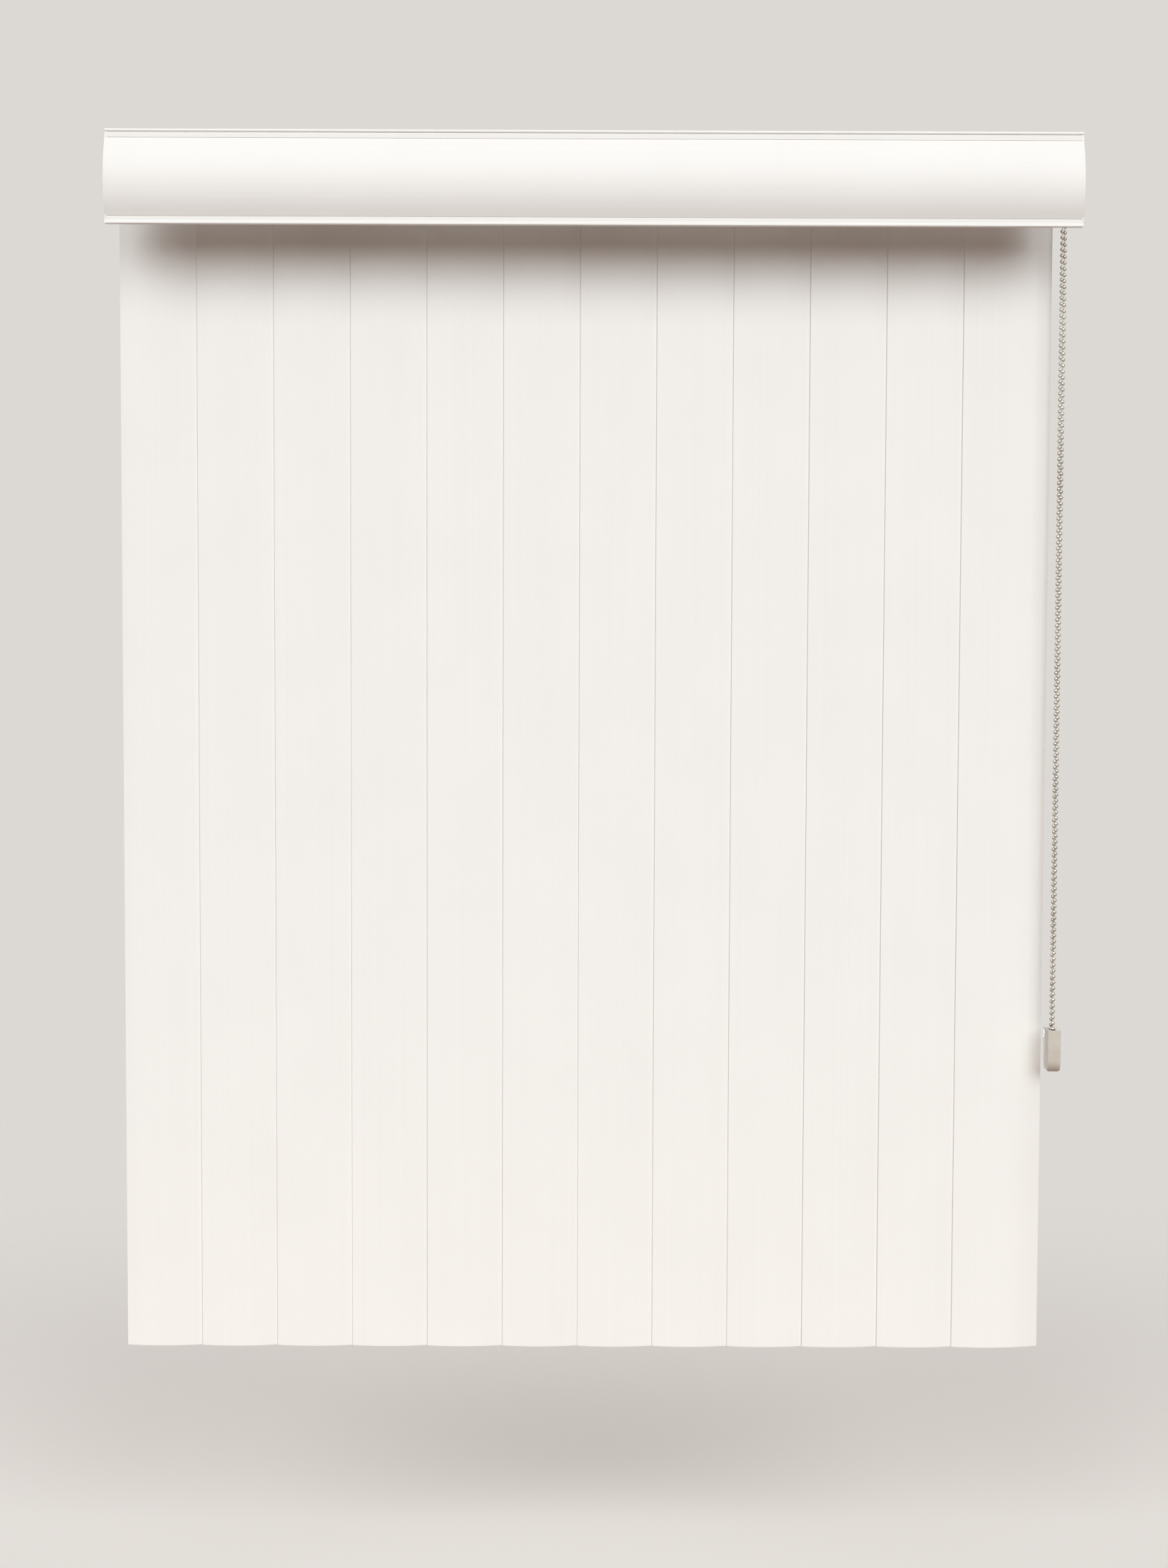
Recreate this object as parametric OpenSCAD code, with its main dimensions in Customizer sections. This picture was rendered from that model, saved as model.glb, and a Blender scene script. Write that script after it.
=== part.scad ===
// Vertical blind: curved vanes hung from a headrail, tilted together by a bead chain,
// with a bulging valance in front of the headrail and a chain tensioner for the side wall.
// Origin: middle of the four bracket screws, on the plane that the brackets are screwed to.
// +X is to the right, -Y is to the room and +Z is up.

/* [Vanes] */
// Number of vanes
vane_count = 12; // [4:1:12]
// Width of a vane, straight from edge to edge
vane_w = 89; // [84:1:92]
// How far the middle of a vane bulges past its edges
vane_rise = 6; // [4:0.5:7]
// Thickness of a vane
vane_t = 0.8; // [0.6:0.1:1.1]
// Length of a vane
vane_len = 1194; // [1000:1:2000]
// How far neighbouring vanes overlap when they are closed
vane_overlap = 11.5; // [8:0.5:14]
// Width of the punched slot that a vane hangs by
vane_slot_w = 12; // [9:0.5:16]
// Height of that slot
vane_slot_h = 3.4; // [3:0.1:5]
// Sheet left above the slot
vane_slot_edge = 9; // [7:0.5:12]

/* [Headrail] */
// Width of the headrail from front to back
rail_w = 44; // [42:1:50]
// Height of the headrail
rail_h = 30; // [29:1:36]
// Wall of the headrail
rail_wall = 1.3; // [1:0.1:1.6]
// Width of the slot along the bottom
rail_slot_w = 18; // [14:1:20]
// Ledge along each top edge, which brackets and clips hook onto
rail_lip = 2; // [1.5:0.1:2.5]
// Height of the rib along each side of the slot
rail_rib_h = 1.8; // [1:0.1:2]
// Space between the outermost vane edges and the ends of the headrail
rail_margin = 0.75; // [0.5:0.05:3]

/* [Brackets] */
// Thickness of the bracket plate
bracket_t = 2.4; // [2:0.1:3]
// Length of a bracket along the headrail
bracket_len = 30; // [20:1:40]
// Distance between the two brackets
bracket_spacing = 720; // [600:1:800]
// Distance between the two screws of a bracket
screw_spacing = 22; // [16:1:26]
// Radius of the bracket's screw holes
screw_hole_r = 2.25; // [1.75:0.05:2.75]
// Radius of the countersink for the screw heads
screw_sink_r = 3.85; // [3.2:0.05:4.2]

/* [Carriers] */
// Length of a carrier along the headrail
carrier_len = 30; // [28:1:36]
// Width of a carrier
carrier_w = 31; // [30:0.5:33]
// Height of a carrier
carrier_h = 20.8; // [20:0.1:22]
// Space under a carrier, above the tracks
carrier_ground = 2.3; // [2.2:0.1:3]
// Radius of the carrier wheels
wheel_r = 4.5; // [4:0.1:5]
// Width of the carrier wheels
wheel_w = 3; // [2:0.1:3.4]
// Radius of the wheel axles
axle_r = 1.5; // [1:0.1:2]
// Distance between the two axles of a carrier
axle_spacing = 20; // [18:0.5:21]
// Width of the spacer links between carriers
link_w = 4; // [3:0.1:4.4]
// Thickness of the spacer links
link_t = 0.8; // [0.5:0.1:1]

/* [Tilt drive] */
// Teeth of the gear on each hanger
gear_teeth = 12; // [12:1:12]
// Thickness of that gear
gear_t = 3; // [2:0.1:3]
// Advance of the worm in one turn
worm_lead = 3; // [3:0.1:3.4]
// Mean radius of the worm
worm_mid_r = 5; // [4.8:0.1:5.4]
// How far the worm's thread swings to each side of its mean radius
worm_swing = 0.9; // [0.8:0.05:0.95]
// Width of the hexagonal tilt rod across its flats
rod_flats = 6; // [5:0.1:6.2]
// Height of the rod above the tracks
rod_rise = 14.1; // [13.5:0.1:15]
// Radius of the hanger's journal in its carrier
journal_r = 4.4; // [4.2:0.05:4.4]
// Radius of the rod's end journals
rod_journal_r = 5; // [4.6:0.1:6]

/* [Hangers] */
// Space from the headrail to the leaves of a hanger
hanger_drop = 4; // [2:0.5:10]
// Length of the two leaves that hold a vane
leaf_len = 22; // [19:0.5:30]
// Width of the leaves
leaf_w = 7.6; // [6:0.1:7.6]
// Thickness of a leaf
leaf_t = 1.4; // [1:0.1:1.4]
// Space from the root of the leaves to the top of the vane
vane_gap = 4; // [2:0.5:6]
// Height of the nib that passes through the vane's slot
nib_h = 2.5; // [1.5:0.1:2.8]

/* [Bead chain] */
// Distance from bead to bead
chain_pitch = 6; // [6:0.1:6.4]
// Radius of a bead
bead_r = 2.25; // [2:0.05:2.3]
// Radius of the wire between beads
wire_r = 0.6; // [0.4:0.05:0.7]
// Links in the front strand, between chain wheel and tension pulley
strand_links = 152; // [60:1:170]
// Pockets round the chain wheel
wheel_pockets = 9; // [9:1:9]
// Pockets round the tension pulley
pulley_pockets = 5; // [5:1:5]
// Beads that pass while the vanes turn from closed to closed
travel_bead_count = 52; // [51:1:52]
// Width of the chain wheel
chain_wheel_w = 6.8; // [6:0.1:8]
// Width of the tension pulley
pulley_w = 6; // [5.6:0.1:7]

/* [Tensioner] */
// Width of the tensioner along the headrail
tens_w = 12.8; // [12:0.1:13]
// From its inner side to the middle of the chain
tens_in = 5; // [4.8:0.1:6]
// Depth of the tensioner from front to back
tens_d = 33; // [31:0.5:38]
// Height of the tensioner
tens_h = 44; // [41:0.5:50]
// Height of its top above the pulley's pin
tens_rise = 29; // [26:0.5:34]
// Wall of the tensioner
tens_wall = 1.8; // [1.4:0.1:2]
// Rounding of its lower corners at the front and the back
tens_round = 13; // [6:0.5:14]
// Rounding of its lower edges along both sides
tens_edge_round = 3; // [1:0.5:4]
// Radius of the pulley's pin
pin_r = 1.5; // [1.2:0.1:1.7]
// Radius of the screw hole through the eyelet
eyelet_r = 2.2; // [1.8:0.1:2.4]
// Wall of the eyelet
eyelet_wall = 1; // [0.6:0.1:1.2]

/* [Valance] */
// Height of the valance
valance_h = 92; // [80:1:110]
// Wall of the valance
valance_wall = 2; // [1.6:0.1:2.4]
// Distance of the valance's back from the line of the hangers
valance_back = 72; // [50:0.5:80]
// Depth of the valance at its top edge
valance_top_d = 6.5; // [6.2:0.1:9]
// Depth of the valance at its bottom edge
valance_bottom_d = 11.5; // [9:0.1:14]
// Bulge of its face past a straight line from top to bottom
valance_bulge = 9.5; // [6:0.1:12]
// Distance that it reaches past the outermost vane on the left
valance_left = 2; // [2:0.25:20]
// Distance that it reaches past the outermost vane on the right
valance_right = 15.5; // [15.25:0.25:40]
// Height of the bead along its top edge
valance_bead = 2.8; // [2:0.1:3.4]
// Height of the flat band under that bead
valance_band = 4.6; // [3:0.1:6]
// Height of the flat band along its bottom edge
valance_foot = 5.6; // [4:0.1:8]
// Thickness of its end caps
valance_cap_t = 2.5; // [1.5:0.1:2.5]

/* [Hidden] */
overrun = 1;
slide_clear = 0.3;
run_clear = 0.05;
seat_clear = 0.1;
round_fn = 48;
arc_fn = 240;
bead_fn = 24;
hex_sides = 6;

// Headrail and what it carries
vane_pitch = vane_w - vane_overlap;
array_half = (vane_count - 1) * vane_pitch / 2 + vane_w / 2;
rail_half = array_half + rail_margin;
rail_top = -bracket_t;
rail_bottom = rail_top - rail_h;
track_z = rail_bottom + rail_wall;
rail_inner = rail_w / 2 - rail_wall;
slot_half = rail_slot_w / 2;
rib_t = 1.2;
hook_t = 1.6;

// Tilt drive: a worm on the rod meshes with the gear of each hanger
gear_pitch_r = gear_teeth * worm_lead / (2 * PI);
gear_tip = 0.6;
gear_tip_r = gear_pitch_r + gear_tip;
gear_root_clear = 0.33;
gear_root_r = gear_pitch_r - worm_swing - gear_root_clear;
tooth_tip_half = 0.24;
tooth_root_half = 0.95;
rod_y = -(gear_pitch_r + worm_mid_r);
rod_z = track_z + rod_rise;
gear_z = rod_z - gear_t / 2;
worm_turns = 2;
worm_len = worm_turns * worm_lead;
worm_sides = 10;
worm_room = 0.5;
rod_corner_r = rod_flats / 2 / cos(180 / hex_sides);
socket_corner_r = (rod_flats / 2 + seat_clear) / cos(180 / hex_sides);
vane_travel = travel_bead_count * 360 / wheel_pockets / gear_teeth;
rest_tilt = (180 - vane_travel) / 2;

// Carriers
carrier_bottom = track_z + carrier_ground;
carrier_top = carrier_bottom + carrier_h;
axle_z = track_z + wheel_r + run_clear;
axle_end = 0.5;
lane_y = 11;
lane_deep = 0.9;
peg_r = 1.2;
peg_h = 1.6;
peg_x = 9;
stop_h = 2;
stop_gap = 1;

// Hangers and vanes
neck_z = rail_bottom - hanger_drop;
vane_top = neck_z - vane_gap;
slot_z = vane_top - vane_slot_edge;
leaf_gap = vane_t + 0.5 * vane_t;
vane_r = vane_w * vane_w / (8 * vane_rise) + vane_rise / 2;
vane_half_angle = asin(vane_w / 2 / vane_r);

// Bead chain, worked out in the plane of its loop from the axis of the chain wheel
wheel_step = 360 / wheel_pockets;
pulley_step = 360 / pulley_pockets;
chain_wheel_r = chain_pitch / (2 * sin(wheel_step / 2));
pulley_r = chain_pitch / (2 * sin(pulley_step / 2));
rim_over = 0.4;
chain_drop = sqrt(pow(strand_links * chain_pitch, 2) - pow(chain_wheel_r - pulley_r, 2));
wheel_turn_beads = floor(wheel_pockets / 2);
pulley_turn_beads = floor(pulley_pockets / 2);
wheel_points = [for (k = [0 : wheel_turn_beads])
    [-chain_wheel_r * cos(k * wheel_step), chain_wheel_r * sin(k * wheel_step)]];
pulley_points = [for (k = [0 : pulley_turn_beads])
    [-pulley_r * cos(k * pulley_step), -chain_drop - pulley_r * sin(k * pulley_step)]];
chain_room = 1.6;
pulley_z = rod_z - chain_drop;

// Control end of the headrail
house_wall = 3;
house_room = 0.5;
cover_t = 2;
plug_len = 16;
plug_clear = 0.3;
house_x = rail_half + house_wall;
chain_x = house_x + house_room + chain_wheel_w / 2;
house_end = chain_x + chain_wheel_w / 2 + house_room;
house_r = chain_wheel_r + bead_r + chain_room;
hub_len = plug_len - house_wall;
stub_r = 4;
rod_inset = 2.5;
cover_screw_y = 14;
cover_screw_r = 1.2;
cover_screw_len = 6;
cover_screw_head_r = 2.6;
cover_screw_head_h = 1.5;
cover_screw_rise = 9.5;

// Idle end of the headrail
idle_flange = 1.2;
bush_len = 13;
bush_gap = 0.4;

// Tensioner
tens_room_r = pulley_r + bead_r + chain_room;
tens_front = rod_y - tens_room_r - tens_wall;
tens_back = tens_front + tens_d;
tens_top = pulley_z + tens_rise;
tens_bottom = tens_top - tens_h;
tens_side_room = 0.4;
tens_x = chain_x - tens_in;
eyelet_back = 8;
eyelet_down = 6.5;
eyelet_y = tens_back - eyelet_back;
eyelet_z = tens_top - eyelet_down;
eyelet_flange = 1;
eyelet_flange_t = 0.6;
eyelet_out_r = eyelet_r + eyelet_wall;

// Valance, in section
valance_drop = 4.3;
valance_top = -valance_drop;
valance_bottom = valance_top - valance_h;
valance_line = 0.6;
valance_groove = 0.8;
valance_cut = 0.7;
valance_lip_h = 1.7;
valance_lip_out = 0.8;
valance_hook_t = 1.4;
valance_hook_h = 7;
face_top = valance_top - valance_bead - valance_groove - valance_band - valance_line;
face_bottom = valance_bottom + valance_lip_h + valance_foot;
back_y = -valance_back;
face_top_y = back_y - valance_top_d;
face_bottom_y = back_y - valance_bottom_d;
face_chord = norm([face_top_y - face_bottom_y, face_top - face_bottom]);
face_r = face_chord * face_chord / (8 * valance_bulge) + valance_bulge / 2;
face_lean = atan2(face_top_y - face_bottom_y, face_top - face_bottom);
face_mid = [(face_top_y + face_bottom_y) / 2, (face_top + face_bottom) / 2];
face_centre = face_mid + (face_r - valance_bulge) * [cos(face_lean), -sin(face_lean)];
valance_x0 = -array_half - valance_left;
valance_x1 = array_half + valance_right;
cap_tongue_len = 12;
cap_tongue_t = 1.5;
cap_tongue_inset = 12;

// Valance clips
clip_t = 1.6;
clip_len = 20;
clip_grip = 6;
clip_spacing = 260;
clip_rib_t = 2;
clip_rib_h = 26;
clip_jaw_y = -(rail_w / 2 + rail_lip + slide_clear);
clip_arm_z = valance_top - clip_t;
clip_y = back_y + slide_clear;
clip_finger_y = back_y - valance_hook_t - slide_clear - clip_t;

vane_colour = "#f3f0ea";
valance_colour = "#f7f5f0";
white_plastic = "#eeeeea";
natural_plastic = "#e2ddcf";
grey_plastic = "#c8c0b6";
aluminium = "#c9ccce";
bright_steel = "#b9bcc0";

function numbered(name, i) = str(name, "_", i < 10 ? "0" : "", i);
function vane_x(i) = (i - (vane_count + 1) / 2) * vane_pitch;
// Spacer links lie by turns in the front and the back lane
function lane(i) = i % 2 == 1 ? -lane_y : lane_y;

// A section drawn in Y and Z, carried along X
module along_x(x, length) {
    translate([x, 0, 0]) rotate([90, 0, 90]) linear_extrude(length) children();
}

// A rectangle of a section, from one corner to the other
module span(low, high) {
    translate(low) square(high - low);
}

// A round bar along X
module x_bar(x, length, r) {
    translate([x, 0, 0]) rotate([0, 90, 0]) cylinder(h = length, r = r, $fn = round_fn);
}

// A round bar along Y, from y to y + length
module y_bar(y, length, r) {
    translate([0, y, 0]) rotate([-90, 0, 0]) cylinder(h = length, r = r, $fn = round_fn);
}

// A six-sided bar along X with flats above and below
module hex_bar(x, length, corner_r) {
    translate([x, 0, 0]) rotate([0, 90, 0]) cylinder(h = length, r = corner_r, $fn = hex_sides);
}

// Moves to the axis of the tilt rod
module at_rod() {
    translate([0, rod_y, rod_z]) children();
}

// Moves to a vane's turning axis and to its closed angle
module at_vane(i) {
    translate([vane_x(i), 0, 0]) rotate(rest_tilt) children();
}

// A block between two corners
module block(low, high) {
    translate(low) cube(high - low);
}

// A curved vane with its slot, bulging to the room
module vane(i) {
    slot_end_r = vane_slot_h / 2;
    slot_mid = slot_z - slot_end_r;
    slot_reach = vane_slot_w / 2 - slot_end_r;
    color(vane_colour) at_vane(i) difference() {
        translate([0, vane_r, vane_top - vane_len])
            rotate(-90 - vane_half_angle)
            rotate_extrude(angle = 2 * vane_half_angle, $fn = arc_fn)
            translate([vane_r - vane_t / 2, 0])
            square([vane_t, vane_len]);
        block([-slot_reach, -overrun, slot_z - vane_slot_h], [slot_reach, overrun, slot_z]);
        for (x = [-slot_reach, slot_reach])
            translate([x, 0, slot_mid]) y_bar(-overrun, 2 * overrun, slot_end_r);
    }
}

// Outline of a gear with straight-sided teeth, one of them towards the worm
module gear_outline() {
    corners = [
        [gear_root_r, -tooth_root_half],
        [gear_tip_r, -tooth_tip_half],
        [gear_tip_r, tooth_tip_half],
        [gear_root_r, tooth_root_half]];
    polygon([for (k = [0 : gear_teeth - 1], c = corners)
        let (a = k * 360 / gear_teeth - 90)
        [c[0] * cos(a) - c[1] * sin(a), c[0] * sin(a) + c[1] * cos(a)]]);
}

// Gear, journal and two leaves that hold the vane, in one moulding
module hanger(i) {
    color(natural_plastic) {
        translate([vane_x(i), 0, gear_z]) linear_extrude(gear_t) gear_outline();
        translate([vane_x(i), 0, neck_z])
            cylinder(h = gear_z - neck_z, r = journal_r, $fn = round_fn);
        at_vane(i) {
            for (side = [-1, 1])
                translate([-leaf_w / 2, side * (leaf_gap + leaf_t) / 2 - leaf_t / 2, neck_z - leaf_len])
                    cube([leaf_w, leaf_t, leaf_len]);
            block([-leaf_w / 2, -vane_t / 2, slot_z - nib_h], [leaf_w / 2, leaf_gap / 2, slot_z]);
        }
    }
}

// Block that rides in the headrail and holds a worm and the gear of a hanger
module carrier(i) {
    worm_r = worm_mid_r + worm_swing + worm_room;
    lane_half = link_w / 2 + slide_clear;
    color(white_plastic) translate([vane_x(i), 0, 0]) {
        difference() {
            block([-carrier_len / 2, -carrier_w / 2, carrier_bottom],
                  [carrier_len / 2, carrier_w / 2, carrier_top]);
            translate([0, 0, gear_z])
                cylinder(h = carrier_top - gear_z + overrun, r = gear_tip_r + worm_room, $fn = round_fn);
            translate([0, 0, carrier_bottom - overrun])
                cylinder(h = gear_z - carrier_bottom + 2 * overrun, r = journal_r + run_clear,
                         $fn = round_fn);
            at_rod() {
                x_bar(-worm_len / 2 - slide_clear, worm_len + 2 * slide_clear, worm_r);
                x_bar(-carrier_len / 2 - overrun, carrier_len + 2 * overrun, rod_corner_r + worm_room);
            }
            for (y = [-lane_y, lane_y])
                block([-carrier_len / 2 - overrun, y - lane_half, carrier_top - lane_deep],
                      [carrier_len / 2 + overrun, y + lane_half, carrier_top + overrun]);
        }
        for (x = [-axle_spacing / 2, axle_spacing / 2], side = [0, 180])
            rotate(side) translate([x, 0, axle_z])
                y_bar(carrier_w / 2, slide_clear + wheel_w + axle_end, axle_r);
        if (i < vane_count)
            translate([-peg_x, lane(i), carrier_top - lane_deep])
                cylinder(h = peg_h, r = peg_r, $fn = round_fn);
    }
}

// Four wheels a carrier, which stand on the tracks of the headrail
module carrier_wheels() {
    color(natural_plastic)
        for (i = [1 : vane_count], x = [-axle_spacing / 2, axle_spacing / 2], side = [0, 180])
            translate([vane_x(i), 0, 0]) rotate(side) translate([x, 0, axle_z]) difference() {
                y_bar(carrier_w / 2 + slide_clear, wheel_w, wheel_r);
                y_bar(carrier_w / 2, wheel_w + 2 * slide_clear + overrun, axle_r + run_clear);
            }
}

// Strips that space the carriers: pegged at one end, free to slide to a stop at the other
module spacer_links() {
    x0 = -carrier_len / 2;
    x1 = vane_pitch + carrier_len / 2 + stop_gap;
    z0 = carrier_top - lane_deep;
    color(bright_steel)
        for (i = [1 : vane_count - 1])
            translate([vane_x(i), lane(i), z0]) difference() {
                union() {
                    block([x0, -link_w / 2, 0], [x1, link_w / 2, link_t]);
                    block([x1 - link_t, -link_w / 2, 0], [x1, link_w / 2, stop_h]);
                }
                translate([-peg_x, 0, -overrun])
                    cylinder(h = link_t + 2 * overrun, r = peg_r + seat_clear, $fn = round_fn);
            }
}

// Extruded channel with a slot along the bottom
module headrail() {
    half = rail_w / 2;
    color(aluminium) along_x(-rail_half, 2 * rail_half) {
        span([-half - rail_lip, rail_top - rail_wall], [half + rail_lip, rail_top]);
        for (m = [0, 1]) mirror([m, 0]) {
            span([rail_inner, rail_bottom], [half, rail_top]);
            span([slot_half, rail_bottom], [half, track_z]);
            span([slot_half, rail_bottom], [slot_half + rib_t, track_z + rail_rib_h]);
        }
    }
}

// Two hooked plates that hold the headrail by its ledges
module mounting_brackets() {
    ledge_y = rail_w / 2 + rail_lip + slide_clear;
    ledge_z = rail_top - rail_wall - slide_clear;
    sink_d = screw_sink_r - screw_hole_r;
    color(bright_steel)
        for (x = [-bracket_spacing / 2, bracket_spacing / 2])
            difference() {
                along_x(x - bracket_len / 2, bracket_len) {
                    span([-ledge_y - hook_t, rail_top], [ledge_y + hook_t, 0]);
                    for (m = [0, 1]) mirror([m, 0]) {
                        span([ledge_y, ledge_z - hook_t], [ledge_y + hook_t, 0]);
                        span([rail_w / 2 + slide_clear, ledge_z - hook_t], [ledge_y + hook_t, ledge_z]);
                    }
                }
                for (y = [-screw_spacing / 2, screw_spacing / 2])
                    translate([x, y, rail_top]) {
                        translate([0, 0, -overrun])
                            cylinder(h = bracket_t + 2 * overrun, r = screw_hole_r, $fn = round_fn);
                        cylinder(h = sink_d, r1 = screw_sink_r, r2 = screw_hole_r, $fn = round_fn);
                    }
            }
}

// Six-sided rod that turns every worm
module tilt_rod() {
    color(aluminium) at_rod()
        hex_bar(-rail_half + rod_inset, rail_half - rod_inset + house_x, rod_corner_r);
}

// One worm a carrier: a round section off its axis, wound along the rod, hollow side to the gear
module drive_worms() {
    slices = worm_turns * worm_sides;
    color(natural_plastic) at_rod()
        for (i = [1 : vane_count])
            translate([vane_x(i), 0, 0]) difference() {
                rotate([90, 0, 90])
                    linear_extrude(worm_len, center = true, twist = -360 * worm_turns,
                                   slices = slices, segments = worm_sides)
                    translate([-worm_swing, 0])
                    circle(worm_mid_r, $fn = worm_sides);
                hex_bar(-worm_len, 2 * worm_len, socket_corner_r);
            }
}

// Round bush on the far end of the rod
module rod_bush() {
    color(natural_plastic) at_rod() difference() {
        x_bar(-rail_half + bush_gap, bush_len, rod_journal_r);
        hex_bar(-rail_half, bush_len + 2 * overrun, socket_corner_r);
    }
}

// Plug that fits inside the end of the headrail
module rail_plug(x, length) {
    side = rail_inner - plug_clear;
    along_x(x, length)
        span([-side, track_z + rail_rib_h + plug_clear], [side, rail_top - rail_wall - plug_clear]);
}

// Outline of the end fittings, the same as the headrail's
module end_outline() {
    span([-rail_w / 2, rail_bottom], [rail_w / 2, rail_top]);
}

// Cap on the left end of the headrail, with the bearing of the rod's bush
module idle_end_cap() {
    color(white_plastic) difference() {
        union() {
            along_x(-rail_half - idle_flange, idle_flange) end_outline();
            rail_plug(-rail_half, bush_len);
        }
        at_rod() x_bar(-rail_half, bush_len + overrun, rod_journal_r + run_clear);
    }
}

// Places of the two screws that hold the control cover
module at_cover_screws() {
    for (rise = [-cover_screw_rise, cover_screw_rise])
        translate([0, cover_screw_y, rod_z + rise]) children();
}

// Fitting on the right end: bearing of the chain wheel, and a chamber that is open below
module control_housing() {
    color(white_plastic) difference() {
        union() {
            rail_plug(rail_half - plug_len, plug_len);
            along_x(rail_half, house_end - rail_half) end_outline();
        }
        at_rod() {
            x_bar(rail_half - plug_len - overrun, plug_len + house_wall + 2 * overrun,
                  rod_journal_r + run_clear);
            x_bar(house_x, house_end - house_x + overrun, house_r);
        }
        along_x(house_x, house_end - house_x + overrun)
            span([rod_y - house_r, rail_bottom - overrun], [rod_y + house_r, rod_z]);
        at_cover_screws()
            x_bar(house_end - cover_screw_len, cover_screw_len + overrun, cover_screw_r + run_clear);
    }
}

// Plate that closes the chamber and carries the chain wheel's outer end
module control_cover() {
    color(white_plastic) difference() {
        along_x(house_end, cover_t) end_outline();
        at_rod() x_bar(house_end - overrun, cover_t + 2 * overrun, stub_r + run_clear);
        at_cover_screws() x_bar(house_end - overrun, cover_t + 2 * overrun, cover_screw_r + run_clear);
    }
}

// Pan-head screws of the control cover
module cover_screws() {
    head_x = house_end + cover_t;
    color(bright_steel) at_cover_screws() {
        x_bar(head_x - cover_screw_len, cover_screw_len, cover_screw_r);
        x_bar(head_x, cover_screw_head_h, cover_screw_head_r);
    }
}

// Pockets for the beads and a groove for the wire between them, round a wheel in the chain's plane
module chain_pockets(pitch_r, pockets) {
    groove_r = wire_r + slide_clear;
    floor_r = pitch_r * cos(180 / pockets) - groove_r;
    rim_r = pitch_r + rim_over + overrun;
    translate([chain_x, 0, 0]) {
        for (k = [0 : pockets - 1])
            rotate([-k * 360 / pockets, 0, 0]) translate([0, -pitch_r, 0])
                sphere(bead_r + slide_clear, $fn = bead_fn);
        rotate([0, 90, 0]) rotate_extrude($fn = round_fn)
            translate([floor_r, -groove_r]) square([rim_r - floor_r, 2 * groove_r]);
    }
}

// Wheel that the chain turns, with a hub that drives the rod
module chain_wheel() {
    wheel_x = chain_x - chain_wheel_w / 2;
    hub_x = rail_half - hub_len;
    color(natural_plastic) at_rod() difference() {
        union() {
            x_bar(wheel_x, chain_wheel_w, chain_wheel_r + rim_over);
            x_bar(hub_x, wheel_x - hub_x, rod_journal_r);
            x_bar(wheel_x, chain_wheel_w + house_room + cover_t, stub_r);
        }
        hex_bar(hub_x - overrun, house_x + overrun - hub_x + overrun, socket_corner_r);
        chain_pockets(chain_wheel_r, wheel_pockets);
    }
}

// A straight run of beads on a wire, from one point of the loop's plane to another
module bead_run(from, to, links) {
    length = norm(to - from);
    step = length / links;
    translate([0, from[0], from[1]])
        rotate([-atan2(to[0] - from[0], to[1] - from[1]), 0, 0])
        rotate_extrude($fn = bead_fn) intersection() {
            union() {
                for (k = [0 : links]) translate([0, k * step]) circle(bead_r, $fn = bead_fn);
                square([wire_r, length]);
            }
            span([0, -bead_r], [bead_r, length + bead_r]);
        }
}

// Beads that lie round a wheel, joined by straight links
module bead_turn(points) {
    last = len(points) - 1;
    for (k = [1 : last - 1]) translate([0, points[k][0], points[k][1]]) sphere(bead_r, $fn = bead_fn);
    for (k = [0 : last - 1])
        let (way = points[k + 1] - points[k])
        translate([0, points[k][0], points[k][1]])
            rotate([-atan2(way[0], way[1]), 0, 0]) cylinder(h = norm(way), r = wire_r, $fn = bead_fn);
}

// Endless loop of beads over the chain wheel and under the tension pulley
module bead_chain() {
    color(bright_steel) at_rod() translate([chain_x, 0, 0]) union() {
        bead_turn(wheel_points);
        bead_turn(pulley_points);
        bead_run(wheel_points[0], pulley_points[0], strand_links);
        bead_run(wheel_points[wheel_turn_beads], pulley_points[pulley_turn_beads], strand_links + 1);
    }
}

// A rectangle of a section with its two lower corners rounded
module rounded_below(low, high, r) {
    span([low[0], low[1] + r], high);
    span([low[0] + r, low[1]], [high[0] - r, high[1]]);
    for (across = [low[0] + r, high[0] - r])
        translate([across, low[1] + r]) circle(r, $fn = round_fn);
}

// Outer form of the tensioner: square above and rounded below, from the side and from the front
module tensioner_form() {
    intersection() {
        along_x(tens_x, tens_w)
            rounded_below([tens_front, tens_bottom], [tens_back, tens_top], tens_round);
        translate([0, tens_back, 0]) rotate([90, 0, 0]) linear_extrude(tens_d)
            rounded_below([tens_x, tens_bottom], [tens_x + tens_w, tens_top], tens_edge_round);
    }
}

// Moulded holder for the bottom of the chain, screwed to the side wall
module tensioner_body() {
    room_x = chain_x - pulley_w / 2 - tens_side_room;
    room_w = pulley_w + 2 * tens_side_room;
    core_y = rod_y + tens_room_r + tens_wall;
    core_top = eyelet_z - eyelet_out_r - eyelet_flange - tens_wall;
    color(grey_plastic) difference() {
        tensioner_form();
        along_x(room_x, room_w) {
            translate([rod_y, pulley_z]) circle(tens_room_r, $fn = round_fn);
            span([rod_y - tens_room_r, pulley_z], [rod_y + tens_room_r, tens_top + overrun]);
        }
        translate([0, rod_y, pulley_z]) x_bar(tens_x - overrun, tens_w + 2 * overrun, pin_r + run_clear);
        along_x(tens_x + tens_wall, tens_w)
            span([core_y, tens_bottom + tens_wall + tens_round], [tens_back - tens_wall, core_top]);
        translate([0, eyelet_y, eyelet_z])
            x_bar(tens_x - overrun, tens_w + 2 * overrun, eyelet_out_r + run_clear);
    }
}

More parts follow.
